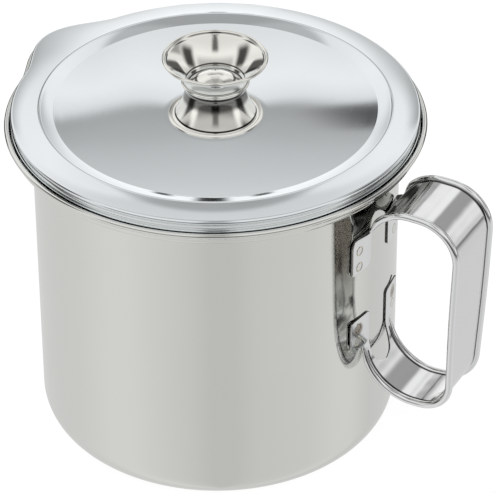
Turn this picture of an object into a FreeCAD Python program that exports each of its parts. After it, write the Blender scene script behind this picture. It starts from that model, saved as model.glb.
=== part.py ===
import FreeCAD, Part
import math
import os
from FreeCAD import Vector

os.makedirs("parts", exist_ok=True)

# Bacon grease pot. Millimetres, pot axis on Z, origin at the centre of the base,
# handle towards +X and pouring lip on the far side.

# pot
body_radius = 60.0
body_wall = 0.6
base_corner_radius = 9.9
rim_height = 112.2            # centre of the curled bead
rim_bead_radius = 0.85
rim_reach = 8.7               # from the wall out to the bead's outermost side
ledge_drop = 3.1              # ledge that carries the strainer, below the bead's centre
neck_radius = 3.6             # bend from the wall out to the ledge, on its outer side
ledge_step_radius = 1.2       # bend from the ledge up to the bead, on its inner side

# pouring lip
lip_angle = 170.0             # direction of the lip about Z
lip_half_angle = 20.5         # how far it spreads to each side
lip_reach = 6.8               # how far its tip stands out from the round rim
lip_drop = 21.1               # where the wall starts to lean out, below the ledge
grip_steps = 5                 # sections of the tapered strap, on its grip and in each bend
bend_steps = 10
lip_sections = 33
fuse_tolerance = 1e-4

# strainer
strainer_wall = 0.5
strainer_wall_gap = 1.5       # basket inside the pot's wall
strainer_bend_radius = 1.5
strainer_seat_gap = 0.3       # flange above the ledge
collar_rim_gap = 1.4          # collar that the lid drops over, inside the pot's rim
collar_height = 6.6           # top of the collar above the flange's underside
collar_bend_radius = 1.4
collar_lid_gap = 0.3          # top of the collar below the lid's flange
strainer_depth = 44.0         # flange to the underside of the floor
strainer_corner_radius = 8.0
mesh_opening_radius = 34.0
mesh_overlap = 4.0            # disc beyond the opening that it covers
mesh_thickness = 0.4
mesh_hole_radius = 1.0
mesh_hole_pitch = 4.4
mesh_ring_wall = 0.8

# lid
lid_wall = 0.5
lid_edge_overhang = 0.25      # rounded edge beyond the skirt
lid_edge_bend = 0.9
skirt_gap = 0.3               # skirt outside the collar
skirt_wall = 0.45
skirt_depth = 5.05            # flange's top to the skirt's end
hem_height = 1.35
hem_wall = 0.6
flange_width = 8.4            # outer edge to the top of the rounded shoulder
crest_above_edge = 1.5
crest_half_width = 2.4
crest_rise = 0.35
crease_inset = 6.4            # edge of the sunken disc inside the shoulder's top
crease_drop = 1.5
disc_step = 0.6
disc_sink = 2.8               # flat seat of the knob below the edge of the disc
seat_margin = 0.5
disc_crown = 0.25             # how far the disc sags below a straight cone

# knob, heights above its seat
foot_radius = 15.4
foot_thickness = 0.5
bell_radius = 13.4            # bell where it meets its foot
bell_middle = (11.2, 4.9)
bell_wall = 0.5
waist_radius = 9.75
waist_height = 9.6
collar_bead_radius = 0.55     # rolled bead that grips the cup
collar_bead_drop = 0.1        # centre of the bead below the start of the cup's flare
cup_seat_height = 10.8
cup_radius = 10.0
cup_wall = 0.6
cup_flare_height = 12.5
cup_middle = (12.3, 16.4)
cup_fit = 0.03
knob_top_radius = 17.1
knob_height = 21.6
knob_lip_radius = 0.6
cap_radius = 8.7
cap_rise = 3.4
cap_wall = 0.5
screw_radius = 2.0
screw_hole_gap = 0.25
screw_head_radius = 3.9
screw_head_height = 2.2
screw_stand = 0.3             # screw end above the nut
recess_width = 0.9
recess_length = 4.6
recess_depth = 1.3
washer_radius = 5.5
washer_thickness = 0.8
nut_across_flats = 7.0
nut_height = 2.2
thread_gap = 0.03

# handle: each bend is its centre's distance from the wall, its height and the radius of
# the strap's outer side
strap_width = 26.6
strap_root_width = 20.7        # the strap narrows toward its lower root
taper_start = 80.0             # height on the grip where that begins
taper_run = 64.0               # its length along the strap
strap_web = 1.0
strap_bead_radius = 1.2
upper_bend = (16.5, 90.7, 15.5)
shoulder_bend = (20.0, 91.8, 14.4)
lower_bend = (19.6, 43.0, 13.1)
root_bend = (17.5, 48.7, 19.0)
upper_root_height = 96.5
lower_root_height = 42.2
ear_thickness = 1.0
ear_half_width = 17.3
ear_neck_margin = 0.9          # from the rolled edges' axes out to the ear's neck
upper_ear_end = 78.5
upper_ear_length = 9.0         # from the ear's end to its shoulder
upper_ear_slant = 4.5          # from there to its neck
lower_ear_end = 59.8
lower_ear_length = 9.8
lower_ear_slant = 3.2
ear_corner_radius = 2.4
notch_half_width = 5.9
upper_notch_end = 94.5
lower_notch_end = 38.0
bead_tip_radius = 0.45
weld_radius = 1.9
weld_stand = 0.12             # how far a weld mark stands proud of the ear
weld_offset = 12.06           # to each side of the handle's middle
upper_weld_insets = (2.1, 8.2)  # from the ear's end
lower_weld_insets = (8.9, 3.4)

origin = Vector(0, 0, 0)
z_axis = Vector(0, 0, 1)
y_axis = Vector(0, 1, 0)

# heights and radii that follow from the sizes above
ledge_height = rim_height - ledge_drop
lip_root_height = ledge_height - lip_drop
rim_radius = body_radius + rim_reach
rim_upright = rim_radius - 2 * rim_bead_radius

strainer_radius = body_radius - body_wall - strainer_wall_gap
collar_radius = rim_upright - collar_rim_gap
flange_bottom = ledge_height + strainer_seat_gap
flange_top = flange_bottom + strainer_wall
collar_top = flange_bottom + collar_height
strainer_floor = flange_bottom - strainer_depth
mesh_radius = mesh_opening_radius + mesh_overlap
mesh_bottom = strainer_floor - mesh_thickness

lid_edge_height = collar_top + collar_lid_gap + lid_wall
lid_edge_radius = collar_radius + skirt_gap + skirt_wall + lid_edge_overhang
skirt_bottom = lid_edge_height - skirt_depth
crest_radius = lid_edge_radius - flange_width
crest_height = lid_edge_height + crest_above_edge
crease_radius = crest_radius - crease_inset
crease_height = crest_height - crease_drop
seat_height = crease_height - disc_sink

upper_ear_shoulder = upper_ear_end + upper_ear_length
upper_ear_neck = upper_ear_shoulder + upper_ear_slant
lower_ear_shoulder = lower_ear_end - lower_ear_length
lower_ear_neck = lower_ear_shoulder - lower_ear_slant
weld_heights = ([upper_ear_end + inset for inset in upper_weld_insets]
                + [lower_ear_end - inset for inset in lower_weld_insets])


def save(shape, name):
    shape.exportStep("parts/" + name + ".step")


# Steps of an outline in the half plane of radius and height.

def line(radius, height):
    return ("line", (radius, height))


def arc(centre, end):
    """Less than half a turn about a centre."""
    return ("arc", centre, end)


def through(middle, end):
    """An arc through a middle point."""
    return ("through", middle, end)


def lean(radius, height):
    """An S-shaped stretch that leaves and arrives upright."""
    return ("lean", (radius, height))


def flat(point):
    return Vector(point[0], 0, point[1])


def outline(start, steps, angle=0.0):
    """A closed wire in the half plane at an angle about Z."""
    edges = []
    here = start
    for kind, *points in steps + [line(*start)]:
        end = points[-1]
        if kind == "line":
            if flat(here).distanceToPoint(flat(end)) > 1e-6:
                edges.append(Part.LineSegment(flat(here), flat(end)).toShape())
        elif kind == "lean":
            pull = 0.45 * (end[1] - here[1])
            curve = Part.BezierCurve()
            curve.setPoles([flat(here), flat((here[0], here[1] + pull)),
                            flat((end[0], end[1] - pull)), flat(end)])
            edges.append(curve.toShape())
        else:
            middle = flat(points[0])
            if kind == "arc":
                spoke = flat(here) + flat(end) - middle * 2
                middle += spoke.normalize() * flat(here).distanceToPoint(flat(points[0]))
            edges.append(Part.Arc(flat(here), middle, flat(end)).toShape())
        here = end
    wire = Part.Wire(edges)
    wire.rotate(origin, z_axis, angle)
    return wire


def turned(start, steps):
    return Part.Face(outline(start, steps)).revolve(origin, z_axis, 360)


def lipped(round_part, section):
    """Adds a ring of outline section(push), round but for the pouring lip lofted into it."""
    face = Part.Face(outline(*section(0.0), lip_angle + lip_half_angle))
    ring = face.revolve(origin, z_axis, 360 - 2 * lip_half_angle)
    wires = []
    for index in range(lip_sections):
        share = -math.cos(math.pi * index / (lip_sections - 1))    # crowded at the ends
        push = lip_reach * math.cos(math.pi / 2 * share) ** 2
        wires.append(outline(*section(push), lip_angle + lip_half_angle * share))
    lip = Part.makeLoft(wires, True, False)
    return round_part.fuse([ring, lip], fuse_tolerance)


# Pot: a drawn cup, its ledge and curled rim.

def pot_rim(push):
    inner = body_radius - body_wall
    neck = (body_radius + neck_radius + push, ledge_height - body_wall - neck_radius)
    bead = (rim_radius - rim_bead_radius + push, rim_height)
    upright = rim_upright + push
    step = (upright - ledge_step_radius, ledge_height + ledge_step_radius)
    drop = math.sqrt(rim_bead_radius ** 2 - (upright + body_wall - bead[0]) ** 2)
    return (inner, lip_root_height), [
        line(body_radius, lip_root_height),
        lean(body_radius + push, neck[1]),
        arc(neck, (neck[0], ledge_height - body_wall)),
        line(step[0], ledge_height - body_wall),
        arc(step, (upright + body_wall, step[1])),
        line(upright + body_wall, rim_height - drop),
        arc(bead, (bead[0] + rim_bead_radius, rim_height)),
        arc(bead, (bead[0], rim_height + rim_bead_radius)),
        arc(bead, (upright, rim_height)),
        line(upright, step[1]),
        arc(step, (step[0], ledge_height)),
        line(neck[0], ledge_height),
        arc(neck, (inner + push, neck[1])),
        lean(inner, lip_root_height),
    ]


def pot_body():
    inner = body_radius - body_wall
    corner = (body_radius - base_corner_radius, base_corner_radius)
    cup = turned((0, 0), [
        line(corner[0], 0),
        arc(corner, (body_radius, corner[1])),
        line(body_radius, lip_root_height),
        line(inner, lip_root_height),
        line(inner, corner[1]),
        arc(corner, (corner[0], body_wall)),
        line(0, body_wall),
    ])
    return lipped(cup, pot_rim)


# Strainer: a basket that hangs on the ledge, with a perforated disc clamped under it.

def collar(push):
    outer = collar_radius + push
    inner = outer - strainer_wall
    bend = (outer - collar_bend_radius, flange_bottom + collar_bend_radius)
    half = strainer_wall / 2
    edge = (outer - half, collar_top - half)
    root = strainer_radius + strainer_bend_radius
    return (root, flange_bottom), [
        line(bend[0], flange_bottom),
        arc(bend, (outer, bend[1])),
        line(outer, edge[1]),
        arc(edge, (edge[0], collar_top)),
        arc(edge, (inner, edge[1])),
        line(inner, bend[1]),
        arc(bend, (bend[0], flange_top)),
        line(root, flange_top),
    ]


def strainer_basket():
    inner = strainer_radius - strainer_wall
    bend = (strainer_radius + strainer_bend_radius, flange_bottom - strainer_bend_radius)
    corner = (strainer_radius - strainer_corner_radius, strainer_floor + strainer_corner_radius)
    basket = turned((mesh_opening_radius, strainer_floor), [
        line(corner[0], strainer_floor),
        arc(corner, (strainer_radius, corner[1])),
        line(strainer_radius, bend[1]),
        arc(bend, (bend[0], flange_bottom)),
        line(bend[0], flange_top),
        arc(bend, (inner, bend[1])),
        line(inner, corner[1]),
        arc(corner, (corner[0], strainer_floor + strainer_wall)),
        line(mesh_opening_radius, strainer_floor + strainer_wall),
    ])
    return lipped(basket, collar)


def strainer_mesh():
    """A disc with round holes on a triangular grid."""
    row_pitch = mesh_hole_pitch * math.sqrt(3) / 2
    reach = mesh_opening_radius - 1.5 * mesh_hole_radius
    rows = int(reach / row_pitch)
    columns = int(reach / mesh_hole_pitch) + 1
    wires = [Part.Wire(Part.makeCircle(mesh_radius, Vector(0, 0, mesh_bottom)))]
    for row in range(-rows, rows + 1):
        for column in range(-columns, columns + 1):
            x = (column + 0.5 * (row % 2)) * mesh_hole_pitch
            y = row * row_pitch
            if math.hypot(x, y) < reach:
                hole = Part.makeCircle(mesh_hole_radius, Vector(x, y, mesh_bottom))
                wires.append(Part.Wire(hole))
    face = Part.Face(wires, "Part::FaceMakerBullseye")
    return face.extrude(Vector(0, 0, mesh_thickness))


def mesh_ring():
    """A clamping ring with a lip up round the disc."""
    outer = mesh_radius + mesh_ring_wall
    bottom = mesh_bottom - mesh_ring_wall
    return turned((mesh_opening_radius, bottom), [
        line(mesh_radius, bottom),
        arc((mesh_radius, mesh_bottom), (outer, mesh_bottom)),
        line(outer, strainer_floor),
        line(mesh_radius, strainer_floor),
        line(mesh_radius, mesh_bottom),
        line(mesh_opening_radius, mesh_bottom),
    ])


# Lid: a pressed disc, a rounded shoulder, and a flange whose skirt drops over the collar.

shoulder_height = crest_height - crest_rise
shoulder_radius = crest_radius + crest_half_width


def lid_edge(push):
    edge = (lid_edge_radius - lid_edge_bend + push, lid_edge_height - lid_edge_bend)
    skirt = collar_radius + skirt_gap + push
    hem_top = skirt_bottom + hem_height
    hem_root = hem_top - hem_wall + skirt_wall
    hem_end = (skirt + hem_wall / 2, skirt_bottom + hem_wall / 2)
    bend = (skirt - collar_lid_gap, lid_edge_height - lid_wall - collar_lid_gap)
    return (shoulder_radius, shoulder_height), [
        line(edge[0], lid_edge_height),
        arc(edge, (edge[0] + lid_edge_bend, edge[1])),
        line(skirt + skirt_wall, edge[1] - lid_edge_bend),
        line(skirt + skirt_wall, hem_top),
        arc((skirt + skirt_wall, hem_root), (skirt + hem_wall, hem_root)),
        line(skirt + hem_wall, hem_end[1]),
        arc(hem_end, (hem_end[0], skirt_bottom)),
        arc(hem_end, (skirt, hem_end[1])),
        line(skirt, bend[1]),
        arc(bend, (bend[0], bend[1] + collar_lid_gap)),
        line(shoulder_radius, shoulder_height - lid_wall),
    ]


def lid_shell():
    hole = screw_radius + screw_hole_gap
    seat = (foot_radius + seat_margin, seat_height)
    disc_edge = (crease_radius - disc_step, crease_height - disc_step)
    disc_middle = ((seat[0] + disc_edge[0]) / 2, (seat[1] + disc_edge[1]) / 2 - disc_crown)
    inner_shoulder = (crest_radius - crest_half_width, shoulder_height)

    def under(point):
        return (point[0], point[1] - lid_wall)

    outer_shoulder = (shoulder_radius, shoulder_height)
    crest = (crest_radius, crest_height)
    crease = (crease_radius, crease_height)
    pan = turned((hole, seat_height), [
        line(*seat),
        through(disc_middle, disc_edge),
        line(*crease),
        line(*inner_shoulder),
        through(crest, outer_shoulder),
        line(*under(outer_shoulder)),
        through(under(crest), under(inner_shoulder)),
        line(*under(crease)),
        line(*under(disc_edge)),
        through(under(disc_middle), under(seat)),
        line(*under((hole, seat_height))),
    ])
    return lipped(pan, lid_edge)


# Knob: a flared bell and a cup on it, held from below by a screw and a nut under a cap.

def lifted(shape, height):
    shape.translate(Vector(0, 0, height))
    return shape


def knob_bell():
    hole = screw_radius + screw_hole_gap
    bead = (cup_radius + collar_bead_radius, cup_flare_height - collar_bead_drop)
    plate = cup_seat_height - bell_wall
    return lifted(turned((foot_radius, 0), [
        line(foot_radius, foot_thickness),
        line(bell_radius, foot_thickness),
        through(bell_middle, (waist_radius, waist_height)),
        lean(bead[0], bead[1] - collar_bead_radius),
        arc(bead, (bead[0] + collar_bead_radius, bead[1])),
        arc(bead, (bead[0], bead[1] + collar_bead_radius)),
        arc(bead, (cup_radius, bead[1])),
        line(cup_radius, cup_seat_height),
        line(hole, cup_seat_height),
        line(hole, plate),
        line(waist_radius - bell_wall, plate),
        line(waist_radius - bell_wall, waist_height),
        through((bell_middle[0] - bell_wall, bell_middle[1]), (bell_radius - bell_wall, 0)),
    ]), seat_height)


def knob_cup():
    hole = screw_radius + screw_hole_gap
    outer = cup_radius - cup_fit
    floor = cup_seat_height + cup_wall
    lip = (knob_top_radius - knob_lip_radius, knob_height - knob_lip_radius)
    slant = 0.25 * cup_wall
    inner_wall = cup_wall + slant
    return lifted(turned((hole, cup_seat_height), [
        line(outer, cup_seat_height),
        line(outer, cup_flare_height),
        through(cup_middle, (lip[0], lip[1] - knob_lip_radius)),
        arc(lip, (lip[0] + knob_lip_radius, lip[1])),
        arc(lip, (lip[0], lip[1] + knob_lip_radius)),
        arc(lip, (lip[0] - knob_lip_radius, lip[1])),
        line(lip[0] - inner_wall, lip[1] - knob_lip_radius),
        through((cup_middle[0] - inner_wall, cup_middle[1]), (outer - inner_wall, cup_flare_height)),
        line(outer - inner_wall, floor),
        line(hole, floor),
    ]), seat_height)


def knob_cap():
    """A domed cap that hides the nut."""
    floor = cup_seat_height + cup_wall
    sphere = (cap_radius ** 2 + cap_rise ** 2) / (2 * cap_rise)
    centre = (0, floor + cap_rise - sphere)
    inner = sphere - cap_wall
    brim = math.sqrt(inner ** 2 - (floor - centre[1]) ** 2)
    return lifted(turned((0, floor + cap_rise), [
        arc(centre, (cap_radius, floor)),
        line(brim, floor),
        arc(centre, (0, floor + cap_rise - cap_wall)),
    ]), seat_height)


def knob_screw():
    """A pan-head screw up through the washer, the lid, the bell and the cup."""
    neck = seat_height - lid_wall - washer_thickness
    head = neck - screw_head_height
    end = seat_height + cup_seat_height + cup_wall + nut_height + screw_stand
    crown = screw_head_height / 2
    screw = turned((0, head), [
        line(screw_head_radius - crown, head),
        arc((screw_head_radius - crown, head + crown), (screw_head_radius, head + crown)),
        line(screw_head_radius, neck),
        line(screw_radius, neck),
        line(screw_radius, end - screw_stand),
        line(screw_radius - screw_stand, end),
        line(0, end),
    ])
    for angle in (0, 90):
        slot = Part.makeBox(recess_length, recess_width, recess_depth,
                            Vector(-recess_length / 2, -recess_width / 2, head))
        slot.rotate(origin, z_axis, angle)
        screw = screw.cut(slot)
    return screw


def knob_washer():
    bottom = seat_height - lid_wall - washer_thickness
    base = Vector(0, 0, bottom)
    disc = Part.makeCylinder(washer_radius, washer_thickness, base)
    return disc.cut(Part.makeCylinder(screw_radius + screw_hole_gap, washer_thickness, base))


def knob_nut():
    bottom = seat_height + cup_seat_height + cup_wall
    corner = nut_across_flats / math.sqrt(3)
    turns = [math.radians(60 * side) for side in range(7)]
    points = [Vector(corner * math.cos(turn), corner * math.sin(turn), bottom) for turn in turns]
    block = Part.Face(Part.makePolygon(points)).extrude(Vector(0, 0, nut_height))
    return block.cut(Part.makeCylinder(screw_radius + thread_gap, nut_height, Vector(0, 0, bottom)))


# Handle: one strap with rolled edges, bent into a loop, that ends in two ears at each root.

def strap_section(x, z, inward, width=strap_width):
    """The strap's section, with its outer side at (x, z) and inward a unit pair."""
    bead = strap_bead_radius
    reach = width / 2 - bead
    spread = reach - math.sqrt(bead ** 2 - (strap_web) ** 2)

    def at(y, depth):
        return Vector(x + inward[0] * depth, y, z + inward[1] * depth)

    return Part.Face(Part.Wire([
        Part.LineSegment(at(bead - reach, bead), at(reach - bead, bead)).toShape(),
        Part.Arc(at(reach - bead, bead), at(reach + bead, bead), at(spread, bead + strap_web)).toShape(),
        Part.LineSegment(at(spread, bead + strap_web), at(-spread, bead + strap_web)).toShape(),
        Part.Arc(at(-spread, bead + strap_web), at(-reach - bead, bead), at(bead - reach, bead)).toShape(),
    ]))


def on_bend(bend, angle):
    """The outer point of a bend and its inward direction, at an angle from +X."""
    out = (math.cos(math.radians(angle)), math.sin(math.radians(angle)))
    x = body_radius + bend[0] + bend[2] * out[0]
    return x, bend[1] + bend[2] * out[1], (-out[0], -out[1])


def bent(bend, start, end):
    face = strap_section(*on_bend(bend, start))
    return face.revolve(Vector(body_radius + bend[0], 0, bend[1]), y_axis, start - end)


def straight(bend_a, bend_b, angle):
    x, z, inward = on_bend(bend_a, angle)
    end_x, end_z, _ = on_bend(bend_b, angle)
    return strap_section(x, z, inward).extrude(Vector(end_x - x, 0, end_z - z))


grip_lean = math.degrees(math.asin((shoulder_bend[2] - lower_bend[2])
                                   / (shoulder_bend[1] - lower_bend[1])))
upper_root_angle = 180 - math.degrees(math.asin((upper_root_height - upper_bend[1]) / upper_bend[2]))
lower_root_angle = -180 + math.degrees(math.asin((root_bend[1] - lower_root_height) / root_bend[2]))


def taper_top():
    """Where the taper begins on the grip: the outer point and its inward direction."""
    x, z, inward = on_bend(shoulder_bend, grip_lean)
    low_x, low_z, _ = on_bend(lower_bend, grip_lean)
    share = (z - taper_start) / (z - low_z)
    return x + share * (low_x - x), taper_start, inward


def tapered_runs():
    """The strap's lower half, stretch by stretch, as outer points with inward directions."""
    x, z, inward = taper_top()
    low_x, low_z, _ = on_bend(lower_bend, grip_lean)
    shares = [step / grip_steps for step in range(grip_steps + 1)]
    turns = [step / bend_steps for step in range(bend_steps + 1)]
    return [
        [(x + share * (low_x - x), z + share * (low_z - z), inward) for share in shares],
        [on_bend(lower_bend, grip_lean - turn * (grip_lean + 90)) for turn in turns],
        [on_bend(lower_bend, -90), on_bend(root_bend, -90)],
        [on_bend(root_bend, -90 + turn * (lower_root_angle + 90)) for turn in turns],
    ]


def tapered_strap():
    """The strap's lower half, which narrows by a smooth step along its length."""
    stretches = []
    last = taper_top()
    length = 0.0
    for run in tapered_runs():
        sections = []
        for x, z, inward in run:
            length += math.hypot(x - last[0], z - last[1])
            last = x, z
            share = min(length / taper_run, 1.0)
            narrowing = share * share * (3 - 2 * share)
            width = strap_width + narrowing * (strap_root_width - strap_width)
            sections.append(strap_section(x, z, inward, width).OuterWire)
        stretches.append(Part.makeLoft(sections, True))
    return stretches


def strap_loop():
    x, z, inward = on_bend(shoulder_bend, grip_lean)
    low_x, low_z, _ = taper_top()
    pieces = [
        bent(upper_bend, upper_root_angle, 90),
        straight(upper_bend, shoulder_bend, 90),
        bent(shoulder_bend, 90, grip_lean),
        strap_section(x, z, inward).extrude(Vector(low_x - x, 0, low_z - z)),
    ]
    return pieces[0].multiFuse(pieces[1:] + tapered_strap())


def ear_outline(end, shoulder, neck, width):
    neck_half_width = width / 2 - strap_bead_radius + ear_neck_margin
    points = [(ear_half_width, end), (ear_half_width, shoulder), (neck_half_width, neck),
              (-neck_half_width, neck), (-ear_half_width, shoulder), (-ear_half_width, end)]
    points.append(points[0])
    return Part.Face(Part.makePolygon([Vector(0, y, z) for y, z in points]))


def notch(end, open_end):
    """The cutter of the slot between two ears, round at its end."""
    depth = body_radius + root_bend[0] - 0.5 * lower_bend[2]
    away = 1 if open_end > end else -1
    centre = end + away * notch_half_width
    low, high = sorted((centre, open_end + away))
    slot = Part.makeBox(depth, 2 * notch_half_width, high - low, Vector(0, -notch_half_width, low))
    return slot.fuse(Part.makeCylinder(notch_half_width, depth, Vector(0, 0, centre), Vector(1, 0, 0)))


def ears(end, shoulder, neck, width, cutter):
    """Two ears that lie on the wall, with round corners."""
    blank = ear_outline(end, shoulder, neck, width).extrude(Vector(2 * body_radius, 0, 0)).cut(cutter)
    corners = [edge for edge in blank.Edges
               if abs(edge.BoundBox.ZLength) < 1e-6 and abs(edge.BoundBox.YLength) < 1e-6
               and abs(edge.BoundBox.ZMin - end) < 1e-6]
    blank = blank.makeFillet(ear_corner_radius, corners)
    low, high = sorted((end, neck))
    base = Vector(0, 0, low)
    shell = Part.makeCylinder(body_radius + ear_thickness, high - low, base)
    return shell.cut(Part.makeCylinder(body_radius, high - low, base)).common(blank)


def root(bend, angle, neck, end, width, cutter):
    """The stretch from the strap's end down to its ears, with the ends of the rolled edges."""
    x, z, inward = on_bend(bend, angle)
    bead = strap_bead_radius
    reach = width / 2 - bead

    def at(y, depth):
        return Vector(x + inward[0] * depth, y, z + inward[1] * depth)

    def on_wall(radius, y):
        return Vector(math.sqrt(radius ** 2 - y ** 2), y, neck)

    def strip(point, low, high):
        return [point(low, -reach), point(low, 0), point(low, reach),
                point(high, reach), point(high, 0), point(high, -reach)]

    strap_points = strip(lambda depth, y: at(y, depth), bead, bead + strap_web)
    wall_points = strip(on_wall, body_radius, body_radius + ear_thickness)
    strap_wire = Part.makePolygon([strap_points[i] for i in (0, 2, 3, 5, 0)])
    near, far = wall_points[:3], wall_points[3:]
    wall_wire = Part.Wire([Part.Arc(*near).toShape(), Part.LineSegment(near[2], far[0]).toShape(),
                           Part.Arc(*far).toShape(), Part.LineSegment(far[2], near[0]).toShape()])
    stretch = Part.makeLoft([strap_wire, wall_wire], True, True).cut(cutter)
    toward_end = math.copysign(2.5, end - neck)
    tips = []
    for side in (-1, 1):
        start = at(side * reach, bead)
        tip = Vector(0, side * reach, 0)
        tip.x = math.sqrt((body_radius + ear_thickness / 2) ** 2 - reach ** 2)
        tip.z = neck + toward_end
        axis = Vector(-inward[1], 0, inward[0])
        wide = Part.Wire(Part.makeCircle(bead, start, axis))
        narrow = Part.Wire(Part.makeCircle(bead_tip_radius, tip, axis))
        tips.append(Part.makeLoft([wide, narrow], True, True))
    return stretch.multiFuse(tips)


def weld_places():
    angle = math.degrees(math.asin(weld_offset / body_radius))
    for height in weld_heights:
        for side in (-1, 1):
            yield side * angle, height


def weld_pin(angle, height):
    pin = Part.makeCylinder(weld_radius, 2 * body_radius, Vector(0, 0, height), Vector(1, 0, 0))
    pin.rotate(origin, z_axis, angle)
    return pin


def handle_strap():
    high_cut = notch(upper_notch_end, upper_ear_end)
    low_cut = notch(lower_notch_end, lower_ear_end)
    loop = strap_loop().cut(low_cut)
    strap = loop.multiFuse([
        root(upper_bend, upper_root_angle, upper_ear_neck, upper_ear_end, strap_width, high_cut),
        ears(upper_ear_end, upper_ear_shoulder, upper_ear_neck, strap_width, high_cut),
        root(root_bend, lower_root_angle, lower_ear_neck, lower_ear_end, strap_root_width, low_cut),
        ears(lower_ear_end, lower_ear_shoulder, lower_ear_neck, strap_root_width, low_cut),
    ])
    for place in weld_places():
        strap = strap.cut(weld_pin(*place))
    return strap


def handle_welds():
    """Eight weld nuggets that fill the ears' holes and stand on the wall."""
    outer = Part.makeCylinder(body_radius + ear_thickness + weld_stand, rim_height)
    skin = outer.cut(Part.makeCylinder(body_radius, rim_height))
    return Part.makeCompound([skin.common(weld_pin(*place)) for place in weld_places()])


pieces = {
    "pot_body": pot_body,
    "handle_strap": handle_strap,
    "handle_welds": handle_welds,
    "strainer_basket": strainer_basket,
    "strainer_mesh": strainer_mesh,
    "mesh_ring": mesh_ring,
    "lid_shell": lid_shell,
    "knob_bell": knob_bell,
    "knob_cup": knob_cup,
    "knob_cap": knob_cap,
    "knob_screw": knob_screw,
    "knob_washer": knob_washer,
    "knob_nut": knob_nut,
}
for name, make in pieces.items():
    save(make(), name)
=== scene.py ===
import math
import bpy
import numpy as np
from mathutils import Matrix, Vector


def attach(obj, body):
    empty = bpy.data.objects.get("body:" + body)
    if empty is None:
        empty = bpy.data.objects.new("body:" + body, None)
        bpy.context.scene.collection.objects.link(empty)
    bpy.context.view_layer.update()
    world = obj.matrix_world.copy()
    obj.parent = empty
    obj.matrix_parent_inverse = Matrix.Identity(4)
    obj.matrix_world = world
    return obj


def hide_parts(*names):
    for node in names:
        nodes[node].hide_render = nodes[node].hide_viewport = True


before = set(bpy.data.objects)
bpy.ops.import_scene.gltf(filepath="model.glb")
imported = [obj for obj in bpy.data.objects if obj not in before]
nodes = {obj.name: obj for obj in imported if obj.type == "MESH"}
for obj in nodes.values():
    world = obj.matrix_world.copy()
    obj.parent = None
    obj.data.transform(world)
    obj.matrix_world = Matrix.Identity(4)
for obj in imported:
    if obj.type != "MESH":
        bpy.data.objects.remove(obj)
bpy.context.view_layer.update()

mm = 0.001
print("frame:", len(nodes), "CAD nodes")


# Shapes. A profile of (radius, height) rows is turned round the pot's axis.

# The pouring lip pushes every rim outwards by reach * cos^2(90 degrees * share), where the share is the
# angle from the lip's middle over its half angle.
lip = dict(angle=170.0, halfAngle=20.5, reach=6.8 * mm)

# Half the angle at a corner that counts as straight, and the gaps that count as none.
near = dict(straight=0.499 * math.pi, samePoint=1e-7, onAxis=1e-9)


def lipPush(theta):
    away = (np.degrees(theta) - lip["angle"] + 180.0) % 360.0 - 180.0
    share = np.clip(away / lip["halfAngle"], -1.0, 1.0)
    return lip["reach"] * np.cos(0.5 * np.pi * share) ** 2


def easeBetween(value, start, end):
    # 0 before start, 1 after end, and 3t^2 - 2t^3 between
    t = np.clip((value - start) / (end - start), 0.0, 1.0)
    return t * t * (3.0 - 2.0 * t)


def rampBetween(value, start, end):
    # 0 before start, 1 after end, and a straight line between
    return np.clip((value - start) / (end - start), 0.0, 1.0)


def arcRun(centre, radius, fromAngle, toAngle, steps=10):
    # centre + radius * (cos a, sin a), a in degrees in the plane of radius and height
    a = np.radians(np.linspace(fromAngle, toAngle, steps + 1))
    return np.stack([centre[0] + radius * np.cos(a), centre[1] + radius * np.sin(a)], -1)


def arcThrough(start, middle, end, steps=16):
    # The circle through three points, from the first to the last. Its centre is as far from each, which
    # makes two linear equations, solved by Cramer's rule.
    (ax, ay), (bx, by), (cx, cy) = start, middle, end
    d = 2.0 * (ax * (by - cy) + bx * (cy - ay) + cx * (ay - by))
    a2, b2, c2 = ax * ax + ay * ay, bx * bx + by * by, cx * cx + cy * cy
    centre = ((a2 * (by - cy) + b2 * (cy - ay) + c2 * (ay - by)) / d,
              (a2 * (cx - bx) + b2 * (ax - cx) + c2 * (bx - ax)) / d)
    first = math.degrees(math.atan2(ay - centre[1], ax - centre[0]))
    turn = math.degrees(math.atan2(cy - centre[1], cx - centre[0])) - first
    turn = (turn + 180.0) % 360.0 - 180.0
    return arcRun(centre, math.hypot(ax - centre[0], ay - centre[1]), first, first + turn, steps)


def filleted(corners, spacing=3.0 * mm, steps=8):
    # A run of corners (x, y, fillet radius). An arc touches both sides radius / tan(half) from the corner,
    # round a centre radius / sin(half) from it, where half is half the corner's angle. Straight stretches
    # are divided so that no piece is longer than the spacing.
    points = [np.array(corners[0][:2])]
    for before, corner, after in zip(corners, corners[1:], corners[2:]):
        here = np.array(corner[:2])
        back, ahead = np.array(before[:2]) - here, np.array(after[:2]) - here
        back, ahead = back / np.linalg.norm(back), ahead / np.linalg.norm(ahead)
        half = 0.5 * math.acos(np.clip(back @ ahead, -1.0, 1.0))
        radius = corner[2]
        if radius == 0.0 or half > near["straight"]:
            points.append(here)
            continue
        reach = radius / math.tan(half)
        centre = here + (back + ahead) / np.linalg.norm(back + ahead) * radius / math.sin(half)
        first, last = here + back * reach - centre, here + ahead * reach - centre
        a = math.atan2(first[1], first[0])
        turn = (math.atan2(last[1], last[0]) - a + math.pi) % (2.0 * math.pi) - math.pi
        angles = a + turn * np.linspace(0.0, 1.0, steps + 1)
        points.extend(centre + radius * np.stack([np.cos(angles), np.sin(angles)], -1))
    points.append(np.array(corners[-1][:2]))
    points = np.array(points)
    counts = np.maximum(1, np.ceil(np.linalg.norm(np.diff(points, axis=0), axis=1) / spacing)).astype(int)
    station = np.concatenate([k + np.arange(n) / n for k, n in enumerate(counts)] + [[len(counts)]])
    index = np.arange(len(points))
    return np.stack([np.interp(station, index, points[:, axis]) for axis in (0, 1)], -1)


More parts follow.
